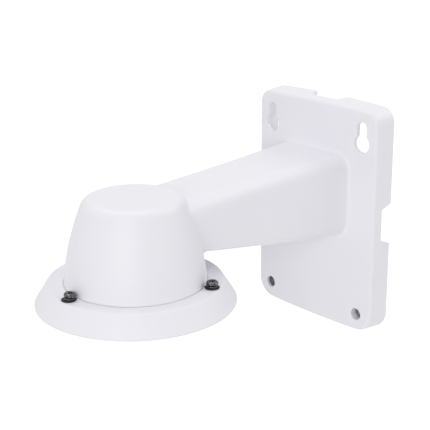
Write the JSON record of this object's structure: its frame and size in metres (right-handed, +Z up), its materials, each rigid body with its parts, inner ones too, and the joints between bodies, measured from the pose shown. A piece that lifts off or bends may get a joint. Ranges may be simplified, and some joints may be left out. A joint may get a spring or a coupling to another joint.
{
  "type": "camera pendant mount adapter",
  "caption": "Wall bracket for a dome camera: hollow cast plate, tapering arm and downward bell cup, ending in a conical flange with cross-recess screws.",
  "frame": {"origin": "centre of the wall plate's back, in the plane of the wall", "axes": "+Y into the wall, +Z up, +X to the right as seen by someone who faces the wall; the arm points along -Y and the camera hangs along -Z"},
  "size_m": [0.15, 0.285, 0.1928],
  "materials": {
    "powder_coat": "satin white powder coat on die-cast aluminium",
    "screw_steel": "dark plated steel, cross recess",
    "washer_steel": "bright spring steel",
    "seal_rubber": "black moulded rubber"
  },
  "bodies": {
    "root": {"bracket_casting": "powder_coat", "camera_flange": "powder_coat", "seal_washer_front": "seal_rubber", "lock_washer_front": "washer_steel", "camera_screw_front": "screw_steel", "seal_washer_right": "seal_rubber", "lock_washer_right": "washer_steel", "camera_screw_right": "screw_steel", "seal_washer_left": "seal_rubber", "lock_washer_left": "washer_steel", "camera_screw_left": "screw_steel", "ring_screw_rear": "screw_steel", "ring_screw_left": "screw_steel", "ring_screw_right": "screw_steel"}
  },
  "joints": []
}
